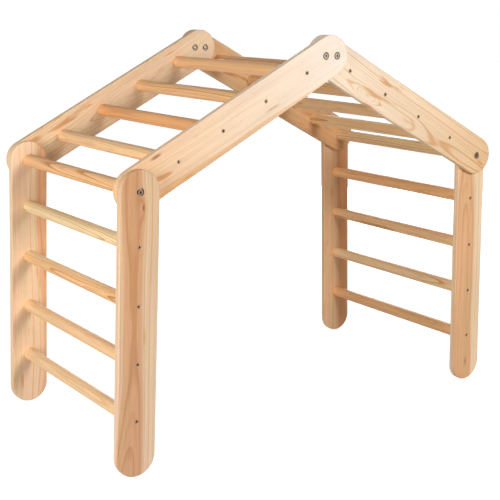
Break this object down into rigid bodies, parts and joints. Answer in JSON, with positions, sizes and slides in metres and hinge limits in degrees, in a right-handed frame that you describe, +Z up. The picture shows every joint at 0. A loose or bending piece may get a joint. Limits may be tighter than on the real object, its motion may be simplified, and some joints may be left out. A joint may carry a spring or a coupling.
{
  "type": "folding climbing frame",
  "caption": "Wooden children's climbing frame of four hinged ladder panels, stood up as a small house with round rungs; both leg panels swing on their eave bolts to fold.",
  "frame": {"origin": "on the floor, below the middle of the ridge: the bottom centre of the bounding box", "axes": "+X along the house from the left leg to the right leg, +Y from the front rails to the back rails, +Z up"},
  "size_m": [1.208, 0.6548, 0.9776],
  "materials": {
    "roof_board": "planed pale pine, eased edges, oiled",
    "leg_board": "planed pine with warmer heartwood streaks, eased edges, oiled",
    "rung": "smooth turned pine dowel, oiled",
    "rung_screw": "zinc-plated screw",
    "pivot_bolt": "blackened socket-head bolt",
    "ridge_bolt": "zinc-plated bolt and nut",
    "washer": "zinc-plated washer",
    "insert": "turned brass insert"
  },
  "bodies": {
    "roof": {"left_roof_front_rail": "roof_board", "left_roof_back_rail": "roof_board", "left_roof_rung_1": "rung", "left_roof_rung_2": "rung", "left_roof_rung_3": "rung", "left_roof_rung_4": "rung", "left_roof_front_rung_screws": "rung_screw", "left_roof_back_rung_screws": "rung_screw", "right_roof_front_rail": "roof_board", "right_roof_back_rail": "roof_board", "right_roof_rung_1": "rung", "right_roof_rung_2": "rung", "right_roof_rung_3": "rung", "right_roof_rung_4": "rung", "right_roof_front_rung_screws": "rung_screw", "right_roof_back_rung_screws": "rung_screw", "left_pivot_rung": "rung", "left_front_pivot_bolt": "pivot_bolt", "left_back_pivot_bolt": "pivot_bolt", "left_pivot_washers": "washer", "left_pivot_inserts": "insert", "right_pivot_rung": "rung", "right_front_pivot_bolt": "pivot_bolt", "right_back_pivot_bolt": "pivot_bolt", "right_pivot_washers": "washer", "right_pivot_inserts": "insert", "front_ridge_bolts": "ridge_bolt", "front_ridge_washers": "washer", "front_ridge_nuts": "ridge_bolt", "back_ridge_bolts": "ridge_bolt", "back_ridge_washers": "washer", "back_ridge_nuts": "ridge_bolt"},
    "left_leg": {"left_leg_front_rail": "leg_board", "left_leg_back_rail": "leg_board", "left_leg_rung_1": "rung", "left_leg_rung_2": "rung", "left_leg_rung_3": "rung", "left_leg_rung_4": "rung", "left_leg_front_rung_screws": "rung_screw", "left_leg_back_rung_screws": "rung_screw"},
    "right_leg": {"right_leg_front_rail": "leg_board", "right_leg_back_rail": "leg_board", "right_leg_rung_1": "rung", "right_leg_rung_2": "rung", "right_leg_rung_3": "rung", "right_leg_rung_4": "rung", "right_leg_front_rung_screws": "rung_screw", "right_leg_back_rung_screws": "rung_screw"}
  },
  "joints": [
    {"name": "left_leg_fold", "type": "hinge", "parent": "roof", "child": "left_leg", "pos_m": [-0.53398, 0, 0.65063], "axis": [0, -1, 0], "range_deg": [-207, 86]},
    {"name": "right_leg_fold", "type": "hinge", "parent": "roof", "child": "right_leg", "pos_m": [0.53398, 0, 0.65063], "axis": [0, 1, 0], "range_deg": [-207, 76]}
  ]
}
